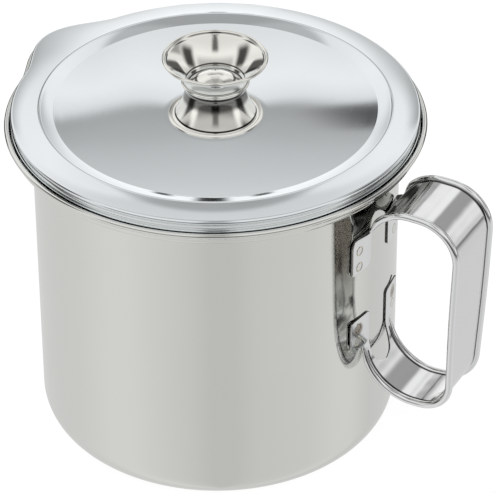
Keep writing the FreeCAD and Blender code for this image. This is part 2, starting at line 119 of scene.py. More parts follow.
def joined(*runs):
    # Runs one after another, without the points that repeat.
    points = np.concatenate(runs)
    step = np.linalg.norm(np.diff(points, axis=0), axis=1)
    return points[np.concatenate([[True], step > near["samePoint"]])]


def addPiece(name, points, faces, body, slot, material, standsFor=()):
    # One closed mesh. Its faces are turned outwards by the sign of its volume, the sum of a . (b x c) over
    # its triangles.
    points = np.asarray(points, float)
    volume = 0.0
    for f in faces:
        for k in range(1, f.shape[1] - 1):
            a, b, c = points[f[:, 0]], points[f[:, k]], points[f[:, k + 1]]
            volume += np.einsum("ij,ij->", a, np.cross(b, c))
    if volume < 0.0:
        faces = [f[:, ::-1] for f in faces]
    mesh = bpy.data.meshes.new(name)
    mesh.from_pydata(points.tolist(), [], [row for f in faces for row in f.tolist()])
    mesh.shade_smooth()
    mesh.materials.append(material)
    piece = bpy.data.objects.new(name, mesh)
    bpy.context.scene.collection.objects.link(piece)
    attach(piece, body)
    if standsFor:
        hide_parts(*standsFor)
    return piece


def gridFaces(rows, columns, closedRows, closedColumns, first=0):
    # Quads of a grid whose point (i, j) has the number first + i * columns + j.
    i = np.arange(rows if closedRows else rows - 1)[:, None]
    j = np.arange(columns if closedColumns else columns - 1)[None, :]
    a, b = i * columns, ((i + 1) % rows) * columns
    c, d = j, (j + 1) % columns
    return first + np.stack([a + c, a + d, b + d, b + c], -1).reshape(-1, 4)


def turned(profile, lean=None, around=480):
    # (r, z) -> ((r + lean * push) cos t, (r + lean * push) sin t, z). A profile that starts or ends
    # on the axis is closed there by a fan, and one that doesn't is closed into a ring.
    theta = np.linspace(0.0, 2.0 * np.pi, around, endpoint=False)
    onAxis = profile[:, 0] < near["onAxis"]
    rows = profile[~onAxis]
    weight = lean(rows) if lean else np.zeros(len(rows))
    radius = rows[:, 0][:, None] + weight[:, None] * lipPush(theta)[None, :]
    height = np.repeat(rows[:, 1][:, None], around, 1)
    points = np.stack([radius * np.cos(theta), radius * np.sin(theta), height], -1).reshape(-1, 3)
    faces = [gridFaces(len(rows), around, not onAxis.any(), True)]
    j = np.arange(around)
    for end, row in ((0, 0), (-1, len(rows) - 1)):
        if onAxis[end]:
            pole = np.full(around, len(points))
            points = np.concatenate([points, [[0.0, 0.0, profile[end, 1]]]])
            ring = [row * around + j, row * around + (j + 1) % around]
            faces.append(np.stack([pole, *(ring[::-1] if end == 0 else ring)], -1))
    return points, faces


# Materials.

# Each noise's detail and roughness.
octaves = dict(waver=(2.0, 0.5), lines=(4.0, 0.7), grain=(5.0, 0.7), clouds=(4.0, 0.6),
               scratches=(2.0, 0.5), smudges=(3.0, 0.55), drift=(1.0, 0.5), dents=(1.0, 0.5))


class Wire:
    # A socket that takes part in Python expressions; each operator adds one Math node.
    def __init__(self, finish, socket):
        self.finish, self.socket = finish, socket

    def math(self, operation, *others):
        return self.finish.add("ShaderNodeMath", dict(operation=operation), [self, *others])

    def __add__(self, other):
        return self.math("ADD", other)

    def __mul__(self, other):
        return self.math("MULTIPLY", other)

    def __sub__(self, other):
        return self.math("SUBTRACT", other)

    def __truediv__(self, other):
        return self.math("DIVIDE", other)

    __radd__, __rmul__ = __add__, __mul__

    def clamp(self):
        return self.finish.add("ShaderNodeMath", dict(operation="MULTIPLY", use_clamp=True), [self, 1.0])


class Finish:
    # A material's or the world's node tree.
    def __init__(self, owner):
        owner.use_nodes = True
        self.tree = owner.node_tree
        self.tree.nodes.clear()

    def add(self, kind, settings=None, inputs=(), output=0):
        node = self.tree.nodes.new(kind)
        for key, value in (settings or {}).items():
            if key == "stops":
                ramp = node.color_ramp
                while len(ramp.elements) < len(value):
                    ramp.elements.new(1.0)
                for element, (place, colour) in zip(ramp.elements, value):
                    element.position = place
                    element.color = (*colour, 1.0) if isinstance(colour, tuple) else (colour,) * 3 + (1.0,)
            else:
                setattr(node, key, value)
        pairs = inputs.items() if isinstance(inputs, dict) else enumerate(inputs)
        for key, value in pairs:
            if isinstance(value, Wire):
                self.tree.links.new(value.socket, node.inputs[key])
            elif value is not None:
                node.inputs[key].default_value = value
        return Wire(self, node.outputs[output]) if node.outputs else node

    def place(self, scale=(1.0, 1.0, 1.0), turn=(0.0, 0.0, 0.0)):
        where = self.add("ShaderNodeTexCoord", output="Object")
        return self.add("ShaderNodeMapping", inputs={"Vector": where, "Scale": scale, "Rotation": turn})

    def noise(self, kind, where, scale):
        detail, rough = octaves[kind]
        return self.add("ShaderNodeTexNoise", dict(noise_dimensions="3D"),
                        {"Vector": where, "Scale": scale, "Detail": detail, "Roughness": rough}, "Fac")

    def lines(self, value, scale):
        detail, rough = octaves["lines"]
        return self.add("ShaderNodeTexNoise", dict(noise_dimensions="1D"),
                        {"W": value, "Scale": scale, "Detail": detail, "Roughness": rough}, "Fac")

    def ramp(self, value, stops):
        return self.add("ShaderNodeValToRGB", dict(stops=stops), [value])

    def mix(self, share, first, second):
        return self.add("ShaderNodeMix", dict(data_type="RGBA"), {0: share, 6: first, 7: second}, 2)

    def band(self, value, place, half, core=0.35):
        # 1 within the core's share of the half width from the place, and 0 from the half width on
        apart = self.add("ShaderNodeMath", dict(operation="ABSOLUTE"), [value - place])
        return self.add("ShaderNodeMapRange", dict(interpolation_type="SMOOTHSTEP"),
                        [apart, half, core * half])

    def bump(self, height, distance=1.0 * mm):
        return self.add("ShaderNodeBump", inputs={"Strength": 1.0, "Distance": distance, "Height": height})


def newFinish(name):
    material = bpy.data.materials.new(name)
    return material, Finish(material)


# Wear that all the steel shares, and the colour of the painted shade in the knob's grooves. Scales are noise
# cells per metre, and stops run over a noise's 0 to 1.
wearAndShade = dict(waver=0.6 * mm, waverScale=60.0, scratchScale=900.0, scratchStretch=(1.0, 1.0, 0.12),
            scratchTurn=(0.4, 0.7, 0.3), scratchStops=[(0.0, 0.0), (0.66, 0.0), (0.74, 1.0)],
            smudgeScale=38.0, smudgeStops=[(0.0, 0.0), (0.55, 0.0), (0.8, 1.0)], driftScale=110.0,
            stainCore=0.6, grooveShade=(0.02, 0.018, 0.015, 1.0))


def steel(name, look):
    # Stainless steel: fine lines in one direction, soft clouding, a few thin scratches and smudges, and where
    # a look lists them, painted shade bands and heat tint.
    material, finish = newFinish(name)
    where = finish.place()
    if look["lines"] == "around":
        flat = finish.add("ShaderNodeSeparateXYZ", inputs=[where], output=2)
        waver = finish.noise("waver", where, wearAndShade["waverScale"]) * wearAndShade["waver"]
        grain = finish.lines(flat + waver, look["lineScale"])
    elif look["lines"] == "rings":
        apart = finish.add("ShaderNodeVectorMath", dict(operation="MULTIPLY"), [where, (1.0, 1.0, 0.0)])
        ring = finish.add("ShaderNodeVectorMath", dict(operation="LENGTH"), [apart], "Value")
        grain = finish.lines(ring, look["lineScale"])
    else:
        grain = finish.noise("grain", where, look["lineScale"])
    clouds = finish.noise("clouds", where, look["cloudScale"])
    thin = finish.place(wearAndShade["scratchStretch"], wearAndShade["scratchTurn"])
    marks = finish.ramp(finish.noise("scratches", thin, wearAndShade["scratchScale"]), wearAndShade["scratchStops"])
    smudge = finish.ramp(finish.noise("smudges", where, wearAndShade["smudgeScale"]), wearAndShade["smudgeStops"])
    colour = finish.mix(clouds * look["tintShare"], look["colour"], look["tint"])
    level = finish.add("ShaderNodeSeparateXYZ", inputs=[where], output=2)
    # Painted shade: dark bands at given heights, where the knob's grooves, ring and foot lie in shade
    for place, half, depth in look.get("shadeBands", ()):
        colour = finish.mix(finish.band(level, place, half) * depth, colour, wearAndShade["grooveShade"])
    # Bands along a UV map: painted shade on the strap, heat tint on the welds
    if "map" in look:
        spread = finish.add("ShaderNodeUVMap", dict(uv_map=look["map"]))
        spread = finish.add("ShaderNodeSeparateXYZ", inputs=[spread]).socket.node
        drift = (finish.noise("drift", where, wearAndShade["driftScale"]) - 0.5) * look["mapDrift"]
        for axis, place, half, depth, stainAndShade in look["mapBands"]:
            value = Wire(finish, spread.outputs[axis])
            share = finish.band(value if axis else value + drift, place, half)
            colour = finish.mix(share * depth, colour, stainAndShade)
    for place, reach, depth, stainAndShade in look.get("stains", ()):
        apart = finish.add("ShaderNodeVectorMath", dict(operation="DISTANCE"), [where, place], "Value")
        share = finish.add("ShaderNodeMapRange", dict(interpolation_type="SMOOTHSTEP"),
                           [apart + (clouds - 0.5) * reach, reach, wearAndShade["stainCore"] * reach])
        colour = finish.mix(share * depth, colour, stainAndShade)
    rough = (look["rough"] + (clouds - 0.5) * look["roughSpread"] + marks * look["scratchRough"]
             + smudge * look["smudgeRough"])
    height = grain * look["lineDepth"] + marks * look["scratchDepth"]
    if "dents" in look:
        height = height + finish.noise("dents", where, look["dents"]["scale"]) * look["dents"]["depth"]
    normal = finish.bump(height)
    shader = finish.add("ShaderNodeBsdfPrincipled", inputs={
        "Base Color": colour, "Metallic": 1.0, "Roughness": rough.clamp(), "Normal": normal})
    finish.add("ShaderNodeOutputMaterial", inputs={"Surface": shader})
    return material


satin = dict(colour=(0.79, 0.795, 0.765, 1), tint=(0.74, 0.735, 0.70, 1), tintShare=0.35, rough=0.08,
             roughSpread=0.06, scratchRough=0.03, smudgeRough=0.03, lines="around", lineScale=1500.0,
             lineDepth=0.0006, scratchDepth=0.0003, cloudScale=22.0)
brightLid = dict(satin, colour=(0.84, 0.87, 0.885, 1), tint=(0.80, 0.83, 0.85, 1), rough=0.05,
                 roughSpread=0.03, scratchRough=0.03, smudgeRough=0.02, lines="rings", lineDepth=0.0006,
                 scratchDepth=0.0005)
polished = dict(satin, colour=(0.85, 0.86, 0.855, 1), tint=(0.78, 0.79, 0.79, 1), rough=0.09,
                roughSpread=0.05, scratchRough=0.05, smudgeRough=0.04, lines="grain", lineScale=700.0,
                lineDepth=0.0012, scratchDepth=0.0012, cloudScale=60.0)
plain = dict(polished, colour=(0.62, 0.62, 0.63, 1), tint=(0.52, 0.52, 0.53, 1), rough=0.28)
satinSteel = steel("satinSteel", satin)
lidSteel = steel("lidSteel", brightLid)
handleSteel = steel("handleSteel", polished)
# The strap's map holds the length from the upper ears and the distance from the axis of the rolled edge,
# and the weld marks' map the distance from their middle. A band is (axis, place, half width, depth, colour),
# painted shade on the strap and heat tint on the welds, and a heat stain (place, reach, depth, colour).
# Painted shade: a near black line along the foot of each rolled edge, where it rises from the sheet
beadFootShade = (1, 1.52 * mm, 0.62 * mm, 0.95, (0.02, 0.02, 0.02, 1))
heatStains = [((58.5 * mm, side * 12.0 * mm, 55.4 * mm), 3.4 * mm, 0.75, (0.20, 0.15, 0.10, 1))
              for side in (-1, 1)]
strapLook = dict(polished, lineDepth=0.0004, scratchDepth=0.0006, dents=dict(scale=80.0, depth=0.12),
                 map="strapMap", mapDrift=0.0, stains=heatStains)
# Painted shade: the loop's inner face dark brown along the shoulder and grip, which the pot's wall also
# mirrors
strapSteel = steel("strapSteel", dict(strapLook, mapBands=[
    beadFootShade, (0, 74.0 * mm, 40.0 * mm, 0.85, (0.16, 0.13, 0.10, 1))]))
# Painted shade: the loop's outer face near black round the upper bend, its edge wavering with noise
strapBackSteel = steel("strapBackSteel", dict(strapLook, mapDrift=5.0 * mm, mapBands=[
    beadFootShade, (0, 24.0 * mm, 13.0 * mm, 0.85, (0.06, 0.055, 0.05, 1))]))
# Painted shade: the sheet's cut edges near black, for the dark shaded lines along the ears' edges
cutEdge = steel("cutEdge", dict(polished, colour=(0.10, 0.095, 0.09, 1), tint=(0.05, 0.045, 0.04, 1),
                                rough=0.35))
# Painted shade bands are (height, half width, depth) of dark painted shade in the knob's grooves, under its
# ring and round its foot.
knobShadeBands = [(122.6 * mm, 2.9 * mm, 0.75), (124.9 * mm, 0.85 * mm, 1.0), (127.15 * mm, 0.35 * mm, 0.9),
              (114.95 * mm, 0.4 * mm, 1.0), (125.4 * mm, 0.25 * mm, 0.8)]
knobSteel = steel("knobSteel", dict(polished, colour=(0.88, 0.87, 0.82, 1), tint=(0.84, 0.82, 0.75, 1),
                                    rough=0.10, shadeBands=knobShadeBands))
strainerSteel = steel("strainerSteel", dict(satin, rough=0.26))
weldBands = [(0, 1.45 * mm, 0.35 * mm, 0.55, (0.62, 0.50, 0.24, 1)),
             (0, 0.0, 0.7 * mm, 0.25, (0.55, 0.45, 0.28, 1))]
weldSteel = steel("weldSteel", dict(polished, rough=0.14, map="weldMap", stains=heatStains, mapDrift=0.0,
                                    mapBands=weldBands))
fastenerSteel = steel("fastenerSteel", plain)
print("materials made")


# The pot.

pot = dict(radius=60.0 * mm, wall=0.6 * mm, baseCorner=9.9 * mm, ledgeTop=109.1 * mm, neck=3.6 * mm,
           ledgeStep=1.2 * mm, beadHeight=112.2 * mm, beadRadius=0.85 * mm, beadReach=68.7 * mm,
           leanFrom=88.0 * mm, leanPull=(0.45, 0.55), around=432)


def potProfile():
    # Up the outside from the axis to the bead, round the bead, and down the inside back to the axis. The
    # bead starts where its circle leaves the upright, sqrt(radius^2 - sideways^2) below its middle.
    wall, inner = pot["wall"], pot["radius"] - pot["wall"]
    under = pot["ledgeTop"] - wall
    upright = pot["beadReach"] - 2 * pot["beadRadius"]
    bead = (pot["beadReach"] - pot["beadRadius"], pot["beadHeight"])
    drop = math.sqrt(pot["beadRadius"] ** 2 - (upright + wall - bead[0]) ** 2)
    start = math.degrees(math.atan2(-drop, upright + wall - bead[0]))
    outside = filleted([(0, 0, 0), (pot["radius"], 0, pot["baseCorner"]),
                        (pot["radius"], under, pot["neck"]),
                        (upright + wall, under, pot["ledgeStep"] + wall),
                        (upright + wall, pot["beadHeight"] - drop, 0)], spacing=2.5 * mm, steps=14)
    roll = arcRun(bead, pot["beadRadius"], start, 180.0, steps=24)
    inside = filleted([(upright, pot["beadHeight"], 0), (upright, pot["ledgeTop"], pot["ledgeStep"]),
                       (inner, pot["ledgeTop"], pot["neck"] + wall),
                       (inner, wall, pot["baseCorner"] - wall), (0, wall, 0)],
                      spacing=2.5 * mm, steps=12)
    return joined(outside, roll, inside)


def potLean(rows):
    # The share of the lip's push by height, on a Bezier from the lean's start, where the wall is upright, to
    # the neck: height 3 a t (1 - t)^2 + 3 b t^2 (1 - t) + t^3 and share 3 t^2 (1 - t) + t^3, with a and b
    # the two pulls
    top = pot["ledgeTop"] - pot["wall"] - pot["neck"]
    low, high = pot["leanPull"]
    t = np.linspace(0.0, 1.0, 200)
    rise = 3 * low * t * (1 - t) ** 2 + 3 * high * t * t * (1 - t) + t ** 3
    return np.interp(rampBetween(rows[:, 1], pot["leanFrom"], top), rise, 3 * t * t * (1 - t) + t ** 3)


addPiece("potShell", *turned(potProfile(), potLean, pot["around"]), "pot", "satin_steel", satinSteel,
         ["pot_body"])
print("pot made")


# The strainer.

strainer = dict(radius=57.9 * mm, wall=0.5 * mm, bend=1.5 * mm, flange=109.4 * mm, collarRadius=65.6 * mm,
                collarBend=1.4 * mm, collarTop=116.0 * mm, depth=44.0 * mm, corner=8.0 * mm,
                opening=34.0 * mm, meshRadius=38.0 * mm, meshThick=0.4 * mm, ringWall=0.8 * mm,
                ringLowEdge=0.2 * mm, ringTopEdge=0.15 * mm, ringSeatEdge=0.05 * mm, ringAround=240)


def basketProfile():
    # From the floor's opening out and up the outside to the collar, over its half-round top, and back inside
    s = strainer
    inner, floor, top = s["radius"] - s["wall"], s["flange"] - s["depth"], s["flange"] + s["wall"]
    half, edge = s["wall"] / 2, s["collarRadius"] - s["wall"] / 2
    outside = filleted([(s["opening"], floor, 0), (s["radius"], floor, s["corner"]),
                        (s["radius"], s["flange"], s["bend"]),
                        (s["collarRadius"], s["flange"], s["collarBend"]),
                        (s["collarRadius"], s["collarTop"] - half, 0)], spacing=2.0 * mm, steps=10)
    lipRound = arcRun((edge, s["collarTop"] - half), half, 0.0, 180.0, steps=8)
    inside = filleted([(s["collarRadius"] - s["wall"], s["collarTop"] - half, 0),
                       (s["collarRadius"] - s["wall"], top, s["collarBend"] - s["wall"]),
                       (inner, top, s["bend"] + s["wall"]),
                       (inner, floor + s["wall"], s["corner"] - s["wall"]),
                       (s["opening"], floor + s["wall"], 0)], spacing=2.0 * mm, steps=10)
    return joined(outside, lipRound, inside)


def basketLean(rows):
    # 0 on the bowl, and growing evenly across the flange to 1 at the collar
    start = strainer["radius"] + strainer["bend"]
    outer = rampBetween(rows[:, 0], start, strainer["collarRadius"] - strainer["collarBend"])
    return np.where(rows[:, 1] > strainer["flange"] - near["samePoint"], outer, 0.0)


def ringProfile():
    # Round the clamp ring's section, which is stepped where it holds the mesh's edge
    s = strainer
    seat = s["flange"] - s["depth"]
    low = seat - s["meshThick"]
    outer = s["meshRadius"] + s["ringWall"]
    return joined(
        filleted([(s["opening"], low, 0), (s["opening"], low - s["ringWall"], s["ringLowEdge"]),
                  (outer, low - s["ringWall"], s["ringWall"]), (outer, seat, s["ringTopEdge"]),
                  (s["meshRadius"], seat, s["ringSeatEdge"]), (s["meshRadius"], low, 0.0),
                  (s["opening"], low, 0)], spacing=2.0 * mm, steps=6)[:-1])


addPiece("strainerShell", *turned(basketProfile(), basketLean), "strainer", "strainer_steel", strainerSteel,
         ["strainer_basket"])
addPiece("meshClamp", *turned(ringProfile(), None, strainer["ringAround"]), "strainer", "strainer_steel",
         strainerSteel, ["mesh_ring"])
print("strainer made")


# The lid.

lid = dict(wall=0.5 * mm, hole=2.25 * mm, seatRadius=15.9 * mm, seatHeight=114.0 * mm, discCrown=0.25 * mm,
           discRadius=52.6 * mm, discHeight=116.6 * mm, slopeRise=0.04 * mm,
           crestRadius=57.4 * mm, crestHeight=117.85 * mm, crestHalf=0.7 * mm, crestRise=0.11 * mm,
           creaseRound=0.8 * mm, edgeRadius=66.6 * mm, edgeHeight=116.8 * mm, edgeBend=0.9 * mm,
           skirtInner=65.9 * mm, skirtWall=0.45 * mm, skirtRound=0.8 * mm, underRound=0.3 * mm,
           hemWall=0.6 * mm, hemHeight=1.35 * mm, hemProud=0.15 * mm, hemSlope=0.1 * mm,
           hemRound=0.08 * mm, hemRoot=0.05 * mm, bottom=111.75 * mm)


def lidTop(drop):
    # The upper side of the pressed plate out to the flange, or its underside at a drop: a flat seat for the
    # knob, a dished disc, a slope and a round crest, each an arc through three points.
    d = lid
    seat, disc = (d["seatRadius"], d["seatHeight"]), (d["discRadius"], d["discHeight"])
    middle = ((seat[0] + disc[0]) / 2, (seat[1] + disc[1]) / 2 - d["discCrown"])
    shoulder = d["crestHeight"] - d["crestRise"]
    pan = arcThrough(seat, middle, disc, steps=24)
    crest = arcThrough((d["crestRadius"] - d["crestHalf"], shoulder), (d["crestRadius"], d["crestHeight"]),
                       (d["crestRadius"] + d["crestHalf"], shoulder), steps=16)
    slope = arcThrough(disc, ((disc[0] + crest[0][0]) / 2, (disc[1] + crest[0][1]) / 2 + d["slopeRise"]),
                       tuple(crest[0]), steps=14)
    crease = filleted([(*pan[-3], 0), (*disc, d["creaseRound"]), (*slope[2], 0)],
                      spacing=0.5 * mm, steps=8)
    flat = filleted([(d["hole"], d["seatHeight"], 0), (*seat, 0)], spacing=2.0 * mm)
    return joined(flat, pan[:-2], crease, slope[2:], crest) - np.array([0.0, drop])


def lidProfile():
    # The plate's upper side, the flange's round edge, down the skirt, round its hem, and back underneath
    d = lid
    edge = (d["edgeRadius"] - d["edgeBend"], d["edgeHeight"] - d["edgeBend"])
    skirt, hemTop = d["skirtInner"] + d["skirtWall"], d["bottom"] + d["hemHeight"]
    half, proud = d["hemWall"] / 2, skirt + d["hemProud"]
    hem = (d["skirtInner"] + half, d["bottom"] + half)
    outer = arcRun(edge, d["edgeBend"], 90.0, 0.0, steps=10)
    fall = filleted([tuple(outer[-1]) + (0,), (skirt, edge[1] - d["edgeBend"], d["skirtRound"]),
                     (skirt, hemTop, d["hemRoot"]), (proud, hemTop - d["hemSlope"], d["hemRound"]),
                     (proud, hem[1], 0)], spacing=0.6 * mm, steps=5)
    roll = arcRun(hem, half, 0.0, -180.0, steps=10)
    rise = filleted([(d["skirtInner"], hem[1], 0),
                     (d["skirtInner"], d["edgeHeight"] - d["wall"], d["underRound"]),
                     (d["crestRadius"] + d["crestHalf"], d["crestHeight"] - d["crestRise"] - d["wall"], 0)],
                    spacing=1.0 * mm, steps=5)
    return joined(lidTop(0.0), outer, fall, roll, rise, lidTop(d["wall"])[::-1])


def lidLean(rows):
    # 0 out to the crest, and growing evenly with the radius to 1 at the flange's edge
    inner = lid["crestRadius"] + lid["crestHalf"]
    return rampBetween(rows[:, 0], inner, lid["edgeRadius"] - lid["edgeBend"])


addPiece("lidPlate", *turned(lidProfile(), lidLean), "lid", "lid_steel", lidSteel, ["lid_shell"])
print("lid made")


# The knob, with heights above its seat.

knob = dict(seat=114.0 * mm, hole=2.25 * mm, footRadius=15.4 * mm, footThick=0.5 * mm,
            footRound=0.3 * mm, footEdge=0.05 * mm, bellRadius=13.4 * mm,
            bellMiddle=(11.2 * mm, 4.9 * mm), bellWall=0.5 * mm, waistRadius=9.75 * mm,
            waistHeight=9.6 * mm, ringRadius=0.55 * mm, ringHeight=12.4 * mm, cupSeat=10.8 * mm,
            cupRadius=10.0 * mm, cupGap=0.03 * mm, cupWall=0.6 * mm, cupSlant=1.25, cupEdge=0.1 * mm,
            bowlRound=0.3 * mm, flareHeight=12.5 * mm, cupMiddle=(12.3 * mm, 16.4 * mm),
            topRadius=17.1 * mm, height=21.6 * mm, lipRadius=0.6 * mm, capRadius=8.7 * mm,
            capRise=3.4 * mm, capWall=0.5 * mm, around=240, capAround=180)


def onSeat(profile):
    return profile + np.array([0.0, knob["seat"]])


def bellProfile():
    # Out over the foot, up the bell and round the ring that grips the cup, then the cup's seat and the
    # inside. Between waist and ring the radius eases by 3t^2 - 2t^3 of the height.
    k = knob
    ring = (k["cupRadius"] + k["ringRadius"], k["ringHeight"])
    wall, plate = k["bellWall"], k["cupSeat"] - k["bellWall"]
    outside = arcThrough((k["bellRadius"], k["footThick"]), k["bellMiddle"],
                         (k["waistRadius"], k["waistHeight"]), steps=20)
    rise = np.linspace(0.0, 1.0, 9)
    low = ring[1] - k["ringRadius"]
    neck = np.stack([k["waistRadius"] + (ring[0] - k["waistRadius"]) * easeBetween(rise, 0.0, 1.0),
                     k["waistHeight"] + (low - k["waistHeight"]) * rise], -1)
    inside = arcThrough((k["waistRadius"] - wall, k["waistHeight"]),
                        (k["bellMiddle"][0] - wall, k["bellMiddle"][1]), (k["bellRadius"] - wall, 0.0),
                        steps=14)
    foot = filleted([(k["bellRadius"] - wall, 0, 0), (k["footRadius"], 0, k["footEdge"]),
                     (k["footRadius"], k["footThick"], k["footRound"]),
                     (k["bellRadius"], k["footThick"], 0)], spacing=1.0 * mm, steps=5)
    seat = filleted([(k["cupRadius"], ring[1], 0), (k["cupRadius"], k["cupSeat"], 0),
                     (k["hole"], k["cupSeat"], 0), (k["hole"], plate, 0),
                     (k["waistRadius"] - wall, plate, 0), (k["waistRadius"] - wall, k["waistHeight"], 0)],
                    spacing=2.0 * mm)
    grip = arcRun(ring, k["ringRadius"], -90.0, 180.0, steps=20)
    return onSeat(joined(foot, outside, neck, grip, seat, inside)[:-1])


def cupProfile():
    # Under the base, up the flare, round the lip, which sets out in line with the flare, and down the bowl.
    # The wall is measured level, so it is cupSlant times its thickness there.
    k = knob
    outer, floor = k["cupRadius"] - k["cupGap"], k["cupSeat"] + k["cupWall"]
    lipPlace = (k["topRadius"] - k["lipRadius"], k["height"] - k["lipRadius"])
    inner = k["cupSlant"] * k["cupWall"]
    start = (lipPlace[0], lipPlace[1] - k["lipRadius"])
    under = arcThrough((outer, k["flareHeight"]), k["cupMiddle"], start, steps=24)
    lean = math.degrees(math.atan2(under[-1][1] - under[-2][1], under[-1][0] - under[-2][0]))
    roll = arcRun(lipPlace, k["lipRadius"], lean - 90.0, 180.0, steps=22)
    over = arcThrough((lipPlace[0] - inner, start[1]), (k["cupMiddle"][0] - inner, k["cupMiddle"][1]),
                      (outer - inner, k["flareHeight"]), steps=24)
    bowl = filleted([(*over[-1], 0), (outer - inner, floor, k["bowlRound"]), (k["hole"], floor, 0)],
                    spacing=1.0 * mm, steps=5)
    base = filleted([(k["hole"], k["cupSeat"], 0), (outer, k["cupSeat"], k["cupEdge"]),
                     (outer, k["flareHeight"], 0)], spacing=1.0 * mm, steps=4)
    return onSeat(joined(base, under, roll, over, bowl))


def capProfile():
    # Part of a sphere of radius (a^2 + h^2) / 2h, for the cap's radius a and rise h, and a hollow inside it
    k = knob
    floor = k["cupSeat"] + k["cupWall"]
    sphere = (k["capRadius"] ** 2 + k["capRise"] ** 2) / (2 * k["capRise"])
    centre, inner = (0.0, floor + k["capRise"] - sphere), sphere - k["capWall"]
    brim = math.degrees(math.asin((floor - centre[1]) / sphere))
    brimInner = math.degrees(math.asin((floor - centre[1]) / inner))
    top = arcRun(centre, sphere, 90.0, brim, steps=30)
    hollow = arcRun(centre, inner, brimInner, 90.0, steps=20)
    top[0, 0] = hollow[-1, 0] = 0.0
    return onSeat(joined(top, hollow))


addPiece("knobBell", *turned(bellProfile(), None, knob["around"]), "lid", "knob_steel", knobSteel,
         ["knob_bell"])
addPiece("knobCup", *turned(cupProfile(), None, knob["around"]), "lid", "knob_steel", knobSteel,
         ["knob_cup"])
addPiece("knobCap", *turned(capProfile(), None, knob["capAround"]), "lid", "knob_steel", knobSteel,
         ["knob_cap"])
knobPieces = [bpy.data.objects[name] for name in ("knobBell", "knobCup", "knobCap")]
for piece in knobPieces + [nodes[name] for name in ("knob_screw", "knob_nut")]:
    piece.visible_glossy = False  # no mirror image of the knob on the lid
print("knob made")


# The handle: a strap with rolled edges, bent into a loop that ends in two ears at each root.

# A bend is its centre (x, z) and the radius of the strap's outer side.
handle = dict(upperBend=(76.5 * mm, 90.7 * mm, 15.5 * mm), shoulder=(80.0 * mm, 91.8 * mm, 14.4 * mm),
              lowerBend=(79.6 * mm, 43.0 * mm, 13.1 * mm), rootBend=(77.5 * mm, 48.7 * mm, 19.0 * mm),
              upperTurn=158.0, lowerTurn=-160.0, lean=1.53, wallRadius=60.0 * mm, sheet=0.55 * mm,
              beadRadius=1.2 * mm, beadTip=0.3 * mm, beadRun=7.0 * mm, beadOver=2.0 * mm, beadSides=20,
              width=26.6 * mm, rootWidth=20.7 * mm, taperStart=80.0 * mm, taperRun=64.0 * mm,
              earHalfWidth=16.4 * mm, earCorner=1.4 * mm, closeWidth=9.4 * mm, notchHalf=5.9 * mm,
              leaveRun=(-1.0 * mm, 4.0 * mm), wornEdge=0.12 * mm, wornAngle=50.0, step=0.4 * mm,
              columns=12, easing=10, mapLift=20.0 * mm, mapLiftFrom=0.3, mapLiftTo=0.7,
              upperEar=dict(end=78.2 * mm, shoulder=11.3 * mm, leave=13.8 * mm, neck=18.5 * mm,
                            notch=16.3 * mm),
              lowerEar=dict(end=59.8 * mm, shoulder=9.8 * mm, leave=13.0 * mm, neck=13.6 * mm,
                            notch=22.6 * mm))


def strapPath():
    # Rows (x, z) of the sheet's middle from the upper ears' ends over the loop to the lower ears' ends:
    # arcs with straight runs between them, evenly spaced and eased by a running mean where they meet.
    h = handle
    depth, wall = h["beadRadius"] + 0.5 * h["sheet"], h["wallRadius"] + 0.5 * h["sheet"]
    turns = [(h["upperBend"], h["upperTurn"], 90.0), (h["shoulder"], 90.0, h["lean"]),
             (h["lowerBend"], h["lean"], -90.0), (h["rootBend"], -90.0, h["lowerTurn"])]
    arcs = [arcRun(bend[:2], bend[2] - depth, start, end, steps=40) for bend, start, end in turns]
    ears = [np.array([(wall, ear["end"]), (wall, ear["end"] + side * ear["leave"])])
            for ear, side in ((h["upperEar"], 1.0), (h["lowerEar"], -1.0))]
    rough = joined(ears[0], *arcs, ears[1][::-1])
    along = np.concatenate([[0.0], np.cumsum(np.linalg.norm(np.diff(rough, axis=0), axis=1))])
    even = np.linspace(0.0, along[-1], int(along[-1] / h["step"]) + 1)
    path = np.stack([np.interp(even, along, rough[:, axis]) for axis in (0, 1)], -1)
    for _ in range(h["easing"]):
        path[1:-1] = 0.25 * path[:-2] + 0.5 * path[1:-1] + 0.25 * path[2:]
    return path, even


def earWidths(ear, at, reach):
    # An ear's outer and inner edge by the length from its end: an end rounded by r - sqrt(r^2 - d^2), a
    # straight side, a slanted neck, and a notch whose end is a half circle, sqrt(r^2 - d^2). The third
    # answer is how far it lies on the wall, 1 on it and 0 off it.
    h = handle
    corner = np.clip(h["earCorner"] - at, 0.0, None)
    rounded = h["earCorner"] - np.sqrt(h["earCorner"] ** 2 - corner ** 2)
    past = at - ear["neck"]
    slant = h["earHalfWidth"] + rampBetween(at, ear["shoulder"], ear["neck"]) * (reach - h["earHalfWidth"])
    beyond = np.clip(at - (ear["notch"] - h["notchHalf"]), 0.0, h["notchHalf"])
    inner = np.where(at < ear["notch"], np.sqrt(h["notchHalf"] ** 2 - beyond ** 2) + rounded, 0.0)
    onWall = 1.0 - easeBetween(at - ear["leave"], *h["leaveRun"])
    return np.where(past < 0.0, slant - rounded, reach), inner, onWall


def strapEdges(path, along):
    # Half widths of the sheet's outer and inner edge at each row, and how far it lies on the round wall.
    h = handle
    grip = np.argmax((path[:, 1] < h["taperStart"]) & (path[:, 0] > h["upperBend"][0]))
    taper = easeBetween(along - along[grip], 0.0, h["taperRun"])
    reach = 0.5 * (h["width"] + (h["rootWidth"] - h["width"]) * taper) - h["beadRadius"]
    upper = earWidths(h["upperEar"], along, reach)
    lower = earWidths(h["lowerEar"], along[-1] - along, reach)
    first = along < 0.5 * along[-1]
    outer, inner, onWall = (np.where(first, a, b) for a, b in zip(upper, lower))
    return reach, outer, inner, onWall


